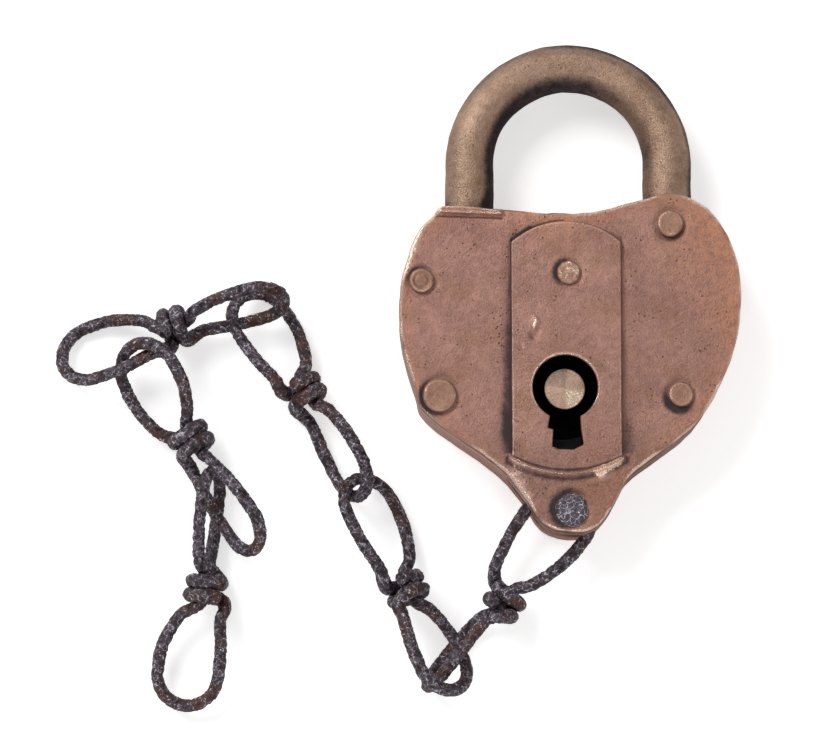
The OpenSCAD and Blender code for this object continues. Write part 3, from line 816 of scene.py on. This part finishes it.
# ---------------------- the stub of the lost keyhole cover
# The drop that once hung over the keyhole turned on this stub. It is gone, and what is
# left of the bronze pin is peened rough, its top painted bright: partly bare peened metal,
# partly painted highlight.
stub_rings = turned(
    [(0.02, 12.2), (1.6, 12.2), (1.6, SEAM_Z), (1.3, SEAM_Z), (1.3, PANEL_Z - 0.2),
     (1.98, PANEL_Z - 0.1), (2.0, PANEL_Z + 0.25), (1.72, PANEL_Z + 0.52), (0.02, PANEL_Z + 0.6)],
    STUB, columns=96, step=0.08,
)
lumps = noise(stub_rings, 0.62, 31) + 0.5 * noise(stub_rings, 0.3, 32)
stub_top = stub_rings[..., 2] > PANEL_Z + 0.2
stub_rings[..., 2] += stub_top * (0.13 * lumps - 0.03)
mesh = close_rings(stub_rings, "cover_stub")
p = points_of(mesh)
hollows = noise(p, 0.62, 31) < -0.2
keep_masks(
    mesh,
    0.9 * ease(PANEL_Z + 0.35, PANEL_Z, p[:, 2]) + 0.15 * hollows,
    0.45 * (p[:, 2] > PANEL_Z + 0.4) + 0.4 * noise(p, 0.5, 33),
    np.full(len(p), 0.25),
)
set_piece("cover_stub", mesh, rivet_bronze, "case", ["cover_pivot_stub"])

# -------------------------------------------- the key post
# A turned brass post that the barrel of the key slides over. Its end is a very flat cone
# with the marks of the lathe, tarnished in wedges, with painted shade on its upper left and
# a painted highlight on its lower right. Its sides are near-black below the end.
post_brass = cast_bronze(
    "post_brass",
    pale=(0.78, 0.545, 0.430),
    deep=(0.52, 0.350, 0.280),
    brown=(0.36, 0.240, 0.160),
    patina=(0.12, 0.095, 0.095),
    bare=(0.85, 0.66, 0.50),
    warm=(0.60, 0.400, 0.250),
    metal=0.8,
    pit=0.2,
)
POST_R = 3.4
POST_TOP = 13.35
LATHE_FEED = 0.32
post_rings = turned(
    [(0.02, 0.02), (2.0, 0.02), (2.0, 2), (POST_R, 2), (POST_R, POST_TOP - 0.1),
     (POST_R - 0.1, POST_TOP), (0.02, POST_TOP + 0.4)],
    (0, 0), columns=96, step=0.09,
)
far = np.hypot(post_rings[..., 0], post_rings[..., 1])
lathe = 0.012 * np.sin(far * 2 * np.pi / LATHE_FEED)
post_rings[..., 2] += lathe * (post_rings[..., 2] > POST_TOP)
mesh = close_rings(post_rings, "key_post_turned")
p = points_of(mesh)
turn = np.arctan2(p[:, 1], p[:, 0])
top = p[:, 2] > POST_TOP - 0.05
wedge = noise(np.stack([np.cos(turn), np.sin(turn), 0 * turn], -1), 0.45, 41)
keep_masks(
    mesh,
    # Painted shade on the upper left of the end, with random tarnish in wedges.
    top * (0.45 * ease(0.1, 0.9, np.cos(turn - radians(125))) + 0.16 * wedge),
    # Painted highlight on the lower right of the end, with random tarnish in wedges.
    top * (1.00 * ease(0.55, 0.98, np.cos(turn - radians(-42))) + 0.14 * wedge),
    top * 0.4,
    blackened=ease(POST_TOP - 0.1, POST_TOP - 0.9, p[:, 2]),
)
set_piece("key_post_turned", mesh, post_brass, "case", ["key_post"])

# --------------------------------------------- the shackle
# One bronze rod, thicker towards its ends and bent to a bow. The right leg ends in an
# eye round the pivot rivet, and the left in a curved toe with a notch for the bolt.
# Its colour carries painted light: a golden painted highlight along the rod's upper side,
# and painted shade nearly black where it faces inwards, on its outer side, underneath and
# over the bow's top. It is darker near the case as well.
shackle_bronze = cast_bronze(
    "shackle_bronze",
    pale=(0.58, 0.385, 0.288),
    deep=(0.31, 0.200, 0.148),
    brown=(0.30, 0.185, 0.120),
    patina=(0.050, 0.038, 0.046),
    bare=(0.85, 0.66, 0.50),
    warm=(0.50, 0.320, 0.190),
    metal=0.85,
    pit=0.5,
)
AXIS_Z = 7.275
BOW_R = 16.8
BOW_Y = 39.1
HEEL_Y = PIVOT[1] + 2.6
BOW_X = PIVOT[0] - BOW_R
TOE_X = PIVOT[0] - 2 * BOW_R
TOE_TURN = 26.0
TOE_R, ROD_R, HEEL_R = 4.2, 4.1, 4.15
EYE_R = 4.6
EYE_HOLE_R = 1.95
EYE_HALF = 4.1
TOE_ROUNDING = 6        # rings over which the tip of the toe is rounded
BOW_FLAT = 3.75         # height over the axis at which the top of the bow is worn flat
NOTCH = (-12.8, 15.1, 19.9)     # its depth in x, and its lowest and highest y


def shackle_line(step=0.2):
    """The rod's middle line and its radius, evenly spaced: the toe's arc about the pivot,
    the left leg, the bow and the right leg down to the eye."""
    a = np.radians(np.linspace(180 + TOE_TURN, 180, 60))
    toe = np.stack([PIVOT[0] + 2 * BOW_R * np.cos(a), PIVOT[1] + 2 * BOW_R * np.sin(a)], -1)
    up = np.stack([np.full(40, TOE_X), np.linspace(PIVOT[1], BOW_Y, 40)], -1)[1:]
    b = np.radians(np.linspace(180, 0, 160))[1:]
    bow = np.stack([BOW_X + BOW_R * np.cos(b), BOW_Y + BOW_R * np.sin(b)], -1)
    down = np.stack([np.full(40, PIVOT[0]), np.linspace(BOW_Y, HEEL_Y, 40)], -1)[1:]
    line = np.vstack([toe, up, bow, down])
    radius = np.r_[
        np.full(len(toe), TOE_R), np.linspace(TOE_R, ROD_R, len(up) + 1)[1:],
        np.full(len(bow), ROD_R), np.linspace(ROD_R, HEEL_R, len(down) + 1)[1:],
    ]
    along = np.r_[0, np.cumsum(np.linalg.norm(np.diff(line, axis=0), axis=1))]
    at = np.linspace(0, along[-1], int(along[-1] / step))
    line = np.stack([np.interp(at, along, line[:, i]) for i in (0, 1)], -1)
    return line, np.interp(at, along, radius)


def shackle_rod(columns=92):
    """The section carried along the middle line: a circle of the radius there, flattened
    a little on top of the bow and dinted all over, with rounded ends."""
    line, radius = shackle_line()
    ahead = np.gradient(line, axis=0)
    ahead /= np.linalg.norm(ahead, axis=1)[:, None]
    out = np.stack([-ahead[:, 1], ahead[:, 0]], -1)[:, None]
    ring = np.arange(len(line))
    into_toe = np.minimum(ring + 0.5, TOE_ROUNDING) / TOE_ROUNDING
    toe_share = 0.86 + 0.14 * np.sqrt(1 - (1 - into_toe) ** 2)
    radius = radius * toe_share * np.where(ring[::-1] < 2, 0.9, 1)
    a = np.linspace(0, 2 * np.pi, columns, endpoint=False)[None]
    across, high = radius[:, None] * np.cos(a), radius[:, None] * np.sin(a)
    on_bow = spot(np.c_[line, line[:, 0]], (BOW_X + 1, BOW_Y + BOW_R), 11)[:, None]
    high = high - on_bow * np.clip(high - BOW_FLAT, 0, None) * 0.9
    p = np.concatenate([line[:, None] + across[..., None] * out, (AXIS_Z + high)[..., None]], -1)
    dint = 0.10 * noise(p, 5, 51) + 0.05 * noise(p, 1.7, 52)
    dint = dint + 0.02 * noise(p, 0.7, 53) - 0.04
    p[..., :2] += (dint * np.cos(a))[..., None] * out
    p[..., 2] += dint * np.sin(a)
    x, y = p[..., 0], p[..., 1]
    notched = (y > NOTCH[1]) & (y < NOTCH[2])
    p[..., 0] = np.where(notched, np.minimum(x, NOTCH[0] + 0.04 * np.sin(9 * y)), x)
    return p, across / radius[:, None]


def shackle_eye(columns=96):
    """A flat ring with rounded edges round the pivot rivet's hole."""
    r, h = EYE_HOLE_R, EYE_HALF
    section = [
        (r, -h + 0.3), (r + 0.3, -h), (EYE_R - 0.5, -h), (EYE_R, -h + 0.5),
        (EYE_R, h - 0.5), (EYE_R - 0.5, h), (r + 0.3, h), (r, h - 0.3), (r, -h + 0.3),
    ]
    return turned([(far, AXIS_Z + z) for far, z in section], PIVOT, columns, step=0.25)[:-1]


def join(first, second):
    """Two meshes as one piece of metal, the second's points after the first's."""
    work = bmesh.new()
    work.from_mesh(first)
    work.from_mesh(second)
    work.to_mesh(first)
    work.free()
    bpy.data.meshes.remove(second)
    return first


rod_rings, side = shackle_rod()
rod = join(
    close_rings(rod_rings, "shackle_rod"),
    close_rings(shackle_eye(), "shackle_eye", closed_tube=True),
)
p = points_of(rod)
facing = np.zeros(len(p))
facing[: side.size] = np.broadcast_to(side, rod_rings.shape[:2]).ravel()
left_leg = ease(BOW_X + 6, BOW_X - 6, p[:, 0])
on_top = ease(BOW_Y + 6, BOW_Y + 13, p[:, 1])
case_end = ease(34.5, 31.0, p[:, 1])
# Painted shade: nearly black where the rod faces inwards, darker on its outer side.
inner = ease(0.28, 0.85, -facing)
outer = ease(0.62, 0.98, facing)
# Painted highlight: a golden sheen along the rod's upper side, nearer its outside on the left
# leg.
crown = 0.42 * left_leg - 0.10 * (1 - left_leg)
sheen = hump(facing, crown, 0.38) * (p[:, 2] > AXIS_Z)
# Dark: painted shade inside, outside, over the bow's top and underneath, darker near the case
# end, with random mottle. Bright: the painted sheen.
keep_masks(
    rod,
    0.90 * inner * (0.55 + 0.45 * left_leg) * (1 - 0.35 * on_top)
    + outer * (0.30 + 0.42 * (1 - left_leg)) + 0.30 * on_top + 0.45 * case_end
    + 0.14 * noise(p, 4.5, 54) + 0.28 * ease(AXIS_Z, AXIS_Z - 3, p[:, 2]),
    sheen * (0.34 - 0.22 * on_top - 0.12 * (1 - left_leg)) + 0.10 * noise(p, 6, 55),
    0.35 + 0.5 * ease(0.3, 0.8, noise(p, 8, 56)),
)
set_piece("shackle_rod", rod, shackle_bronze, "shackle", ["shackle"])

# ----------------------------------------------- the chain
# Six links, each one length of iron wire bent to two loops whose ends are wound round
# the middle. Rust has eaten the wire to a bark of ridges, grey where they are rubbed
# and brown below. Painted glints sit on the brightest ridges, and faces turned up carry
# a painted highlight. The first link goes through the slot of the tongue.
WIRE = 2.1
WIRE_TWIST = 0.55       # radians that the ridges wind on in a millimetre
LINKS = [  # in wire diameters from the chain rivet: middle, loop A, loop B, knot offset
    [(-5.63, -6.45, 2.68), (51.2, 5.37, 2.95, 10.22, 2.54),
     (231.52, -1.94, 77.61, 9.25, 1.91), (0.36, -0.48)],
    [(-12.81, -5.91, 3.04), (-67.29, 12.82, 139.28, 9.15, 2.32),
     (115.77, -4.26, 41.89, 9.86, 2.58), (-0.14, 0.03)],
    [(-20.94, 9.96, 2.16), (-62.39, 7.99, -122.0, 9.47, 2.3),
     (123.63, -3.26, 29.27, 9.6, 2.5), (-0.25, 0.19)],
    [(-32.02, 15.33, 2.93), (13.68, 7.94, -114.33, 9.36, 2.31),
     (197.49, -8.88, 28.49, 9.46, 2.59), (0.13, 0.01)],
    [(-30.65, 5.59, 2.77), (119.39, 5.44, -40.65, 9.17, 2.86),
     (-55.53, 11.43, -125.28, 10.27, 2.2), (0.45, 0.53)],
    [(-29.67, -5.96, 2.51), (83.28, 0.02, -107.26, 9.58, 1.93),
     (-97.63, -6.03, 4.83, 9.33, 2.45), (0.4, 0.04)],
]


def rusted_iron_finish():
    """Dark corroded iron: purple-brown scales in a net of grey rubbed ridges with painted glints,
    rust below.
    """
    f = Finish("rusted_iron_wire")
    dark, bright, rusty, _ = f.wear_and_light()
    crust = f.noise(1.2, 4.0, 0.65)
    fine = f.noise(0.26, 3.0, 0.65)
    net = 1 - f.ease(f.cells(0.85, "DISTANCE_TO_EDGE") - (fine - 0.5) * 0.16, 0.0, 0.11)
    patch = f.ease(bright * 0.45 + crust, 0.44, 0.78)
    tone = f.blend(patch, (0.038, 0.024, 0.029), (0.105, 0.082, 0.104))
    rust = f.ease(rusty + (f.noise(3.5) - 0.5) * 2.0, 0.22, 0.62)
    tone = f.blend(rust * 0.85, tone, (0.112, 0.048, 0.036))
    crack = f.ease(dark + (fine - 0.5) * 0.4, 0.3, 0.9) * 0.8
    tone = f.blend(crack, tone, (0.014, 0.010, 0.013))
    tone = f.blend(net * patch * (0.80 - rust * 0.62), tone, (0.40, 0.36, 0.44))
    # Painted glints: near-white on the net where the bright mask is strongest.
    shine = net * f.ease(patch + (fine - 0.5) * 2.4, 0.80, 1.25)
    tone = f.blend(shine, tone, (0.80, 0.76, 0.82))
    roughness = 0.48 - shine * 0.18 + (fine - 0.5) * 0.3
    height = crust * 0.4 + fine * 0.35 + net * 0.45
    return f.done(tone, roughness, height, 0.22, Metallic=0.45)


rusted_iron = rusted_iron_finish()


def unit(v):
    """Vectors brought to length 1."""
    return v / np.linalg.norm(v, axis=-1, keepdims=True)


def wrap_point(turn, along, wider=1.0):
    """A point of a wrap, an ellipse that hangs to one side of the wire it goes round."""
    return [along, 0.4 + 1.48 * wider * np.cos(turn), 1.1 * wider * np.sin(turn)]


def loop_points(length, width):
    """One loop in its own plane, as [along, across, out] in wire diameters: from the free
    end round the knot, out along one side, round the end and back to the knot's core."""
    wrap, end = np.radians(np.arange(40, 271, 46)), np.radians(np.arange(0, 181, 30))
    turns = [wrap_point(a, 0.56) for a in wrap]
    leave = [wrap_point(radians(312), 0.72), wrap_point(radians(352), 1.35, 1.05)]
    middle = (2.3 + length - width) / 2
    round_end = [
        [length - width + width * s, width * c, 0] for c, s in zip(np.cos(end), np.sin(end))
    ]
    return np.array(
        turns + leave + [[2.3, 0.74 * width + 0.14, 0], [middle, 0.97 * width, 0]] + round_end
        + [[middle, -0.93 * width, 0], [2.3, -0.55 * width, 0], [1.45, -0.13 * width, 0],
           [0.8, 0, 0]]
    )


def loop_axes(heading, rise, roll):
    """The directions along and across a loop of given heading, rise and roll in degrees."""
    h, e, t = np.radians([heading, rise, roll])
    along = np.array([np.cos(h) * np.cos(e), np.sin(h) * np.cos(e), np.sin(e)])
    level = np.array([-np.sin(h), np.cos(h), 0])
    return along, np.cos(t) * level + np.sin(t) * np.cross(along, level)


def loop_path(middle, loop, knot_axis, offset):
    """A loop set at its middle. Near the knot its points keep to the knot's own axis, and
    further out they follow the loop's."""
    along, across = loop_axes(*loop[:3])
    q = loop_points(*loop[3:])
    knot_side = unit(across - knot_axis * (across @ knot_axis))
    near = middle + offset + q @ np.stack([knot_axis, knot_side, np.cross(knot_axis, knot_side)])
    far = middle + q @ np.stack([along, across, np.cross(along, across)])
    share = np.clip((q[:, :1] - 1) / 1.6, 0, 1)
    return near * (1 - share) + far * share


def link_path(link):
    """The whole wire of a link in millimetres: loop A, the knot's middle, and loop B."""
    middle, a, b, off = link
    middle, off = np.array(middle), np.array([*off, 0.0])
    knot_axis = unit(loop_axes(*a[:3])[0] - loop_axes(*b[:3])[0])
    path = np.vstack([
        loop_path(middle, a, knot_axis, off), middle + off,
        loop_path(middle, b, -knot_axis, off)[::-1],
    ])
    return path * WIRE + np.array([*CHAIN_RIVET, 0])


def smooth_path(points, step):
    """A cubic through all points, each stretch leaving along the line between the points
    on either side (Catmull-Rom), cut into equal steps."""
    q = np.vstack([2 * points[0] - points[1], points, 2 * points[-1] - points[-2]])
    t = np.linspace(0, 1, 24, endpoint=False)[None, :, None]
    a, b, c, d = (q[i:len(q) - 3 + i, None] for i in range(4))
    fine = 0.5 * (
        2 * b + (c - a) * t + (2 * a - 5 * b + 4 * c - d) * t**2
        + (3 * b - a - 3 * c + d) * t**3
    )
    fine = np.vstack([fine.reshape(-1, 3), points[-1:]])
    along = np.r_[0, np.cumsum(np.linalg.norm(np.diff(fine, axis=0), axis=1))]
    at = np.linspace(0, along[-1], int(along[-1] / step))
    return np.stack([np.interp(at, along, fine[:, i]) for i in range(3)], -1)


def steady_sides(path):
    """Two directions square to a path that turn with it and never twist about it."""
    ahead = unit(np.gradient(path, axis=0))
    side = np.empty_like(ahead)
    side[0] = unit(np.cross(ahead[0], [0.3, 0.2, 0.9]))
    for i in range(1, len(path)):
        side[i] = side[i - 1] - ahead[i] * (side[i - 1] @ ahead[i])
        side[i] /= np.linalg.norm(side[i])
    return side, np.cross(ahead, side)


def wire_link(link, seed, columns=30, step=0.2):
    """Corroded wire along a link's path. Its radius follows ridges that wind along the
    wire, the wraps are thicker and the ends rounded. Gives the rings, how high each ridge
    stands, and which rings lie at the knot."""
    path = smooth_path(link_path(link), step)
    side, up = steady_sides(path)
    s = np.arange(len(path))[:, None] * step
    a = np.linspace(0, 2 * np.pi, columns, endpoint=False)[None]
    twist = a + WIRE_TWIST * s
    bark = np.stack([s / 1.5 + 0 * a, np.cos(twist), np.sin(twist)], -1)
    ridge = 1 - np.abs(noise(bark, 0.62, seed)) * 1.9
    ridge = 0.60 * ridge + 0.40 * (1 - np.abs(noise(bark, 0.33, seed + 1)) * 1.9)
    slow = noise(bark, 3.0, seed + 2)
    from_end = np.minimum(s, s[::-1])
    knot = ease(12, 5, np.minimum(from_end, np.abs(s - s[-1] / 2)))
    wound = ease(18, 13, from_end)
    radius = WIRE / 2 * (1.0 + 0.06 * slow + 0.17 * wound) + 0.24 * (ridge - 0.58)
    cap = np.sqrt(np.clip(1 - (1 - np.minimum(from_end + 0.03, 0.9) / 0.9) ** 2, 0, 1))
    radius = radius * cap
    rings = path[:, None] + radius[..., None] * (
        np.cos(a)[..., None] * side[:, None] + np.sin(a)[..., None] * up[:, None]
    )
    rings[..., 2] = np.maximum(rings[..., 2], 0.02)
    return rings, ridge, knot


for k, link in enumerate(LINKS):
    rings, ridge, knot = wire_link(link, 60 + 5 * k)
    name = f"wire_link_{k + 1}"
    mesh = close_rings(rings, name)
    p, n = points_of(mesh), normals_of(mesh)
    high = np.r_[ridge.ravel(), 0.5, 0.5]
    wound = np.r_[np.broadcast_to(knot, ridge.shape).ravel(), 1, 1]
    above, below = ease(-0.2, 0.6, n[:, 2]), ease(0.2, -0.5, n[:, 2])
    patch = noise(p, 7, 90 + k)
    keep_masks(
        mesh,
        ease(0.30, -0.15, high),
        # Bright on the high ridges, and more on faces turned up: painted highlight.
        (0.15 + 0.75 * ease(0.45, 0.90, high)) * (0.5 + 0.5 * above),
        0.25 + 0.45 * below + 0.35 * patch - 0.1 * wound,
    )
    node = f"chain_link_{k + 1}"
    set_piece(name, mesh, rusted_iron, f"link_{k + 1}", [node])

# --------------------------------------- the chain's rivet
# An iron rivet through the tongue, flush at the back, that the first link hangs on. Its
# hammered head has rusted to a rough scab.
IRON_HEAD = 2.75
top = PLATE_Z + 0.85
rivet_rings = turned(
    [(0.02, 0.02), (1.8, 0.02), (1.9, 0.2), (1.9, PLATE_Z - 0.4), (IRON_HEAD, PLATE_Z - 0.4),
     (IRON_HEAD, PLATE_Z + 0.2), (IRON_HEAD - 0.35, top - 0.25), (IRON_HEAD - 0.9, top),
     (0.02, top - 0.1)],
    CHAIN_RIVET, columns=110, step=0.08,
)
head = rivet_rings[..., 2] > PLATE_Z - 0.3
scab = 0.16 * noise(rivet_rings, 0.9, 95) + 0.10 * noise(rivet_rings, 0.42, 96)
rivet_rings[..., 2] += head * (scab - 0.06)
out = unit(rivet_rings[..., :2] - np.array(CHAIN_RIVET))
edge_noise = 0.14 * noise(rivet_rings * [1, 1, 0], 1.1, 97)
rivet_rings[..., :2] += (head * edge_noise)[..., None] * out
mesh = close_rings(rivet_rings, "chain_rivet_head")
p = points_of(mesh)
lumps = noise(p, 0.9, 95) + 0.6 * noise(p, 0.42, 96)
keep_masks(
    mesh,
    0.25 * ease(0.0, -0.7, lumps),
    0.50 + 0.50 * ease(-0.2, 0.8, lumps),
    0.35 * ease(0.5, -2.5, p[:, 0] - p[:, 1] + CHAIN_RIVET[1]),
)
set_piece("chain_rivet_head", mesh, rusted_iron, "case", ["chain_rivet"])

# ------------------------------------------- the lock work
# Bolt and levers cut from rolled brass, springs and pins of steel and a ward of dark
# steel, all greased and dull. Only the ward's edge shows, through the keyhole.


def rolled_metal(name, colour, dull, metal):
    """Flat stock with fine rolling lines along one direction and cloudy tarnish."""
    f = Finish(name)
    streaks = f.node("VectorMath", {"operation": "MULTIPLY"}, f.place, (0.15, 2.5, 1.0))
    lines = f.noise(0.5, 3.0, 0.6, at=streaks)
    clouds = f.noise(3.0, 3.0)
    tone = f.blend(f.ease(clouds + (lines - 0.5) * 0.4, 0.35, 0.7), dull, colour)
    return f.done(tone, 0.38 + clouds * 0.3, lines, 0.02, Metallic=metal)


LOCK_BRASS = rolled_metal("lock_brass", (0.55, 0.40, 0.20), (0.30, 0.20, 0.11), 0.85)
LOCK_STEEL = rolled_metal("lock_steel", (0.22, 0.22, 0.24), (0.09, 0.085, 0.09), 0.8)
WARD_STEEL = rolled_metal("ward_steel", (0.060, 0.055, 0.060), (0.025, 0.022, 0.024), 0.5)
stock = {"bolt": LOCK_BRASS, "bolt_guide_pin": LOCK_STEEL, "lever_pivot_post": LOCK_STEEL}
stock["ward_plate"] = WARD_STEEL
for i in range(1, 5):
    stock[f"lever_{i}"] = LOCK_BRASS
    stock[f"lever_spring_{i}"] = LOCK_STEEL
for node, metal in stock.items():
    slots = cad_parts[node].data.materials
    slots.clear()
    slots.append(metal)
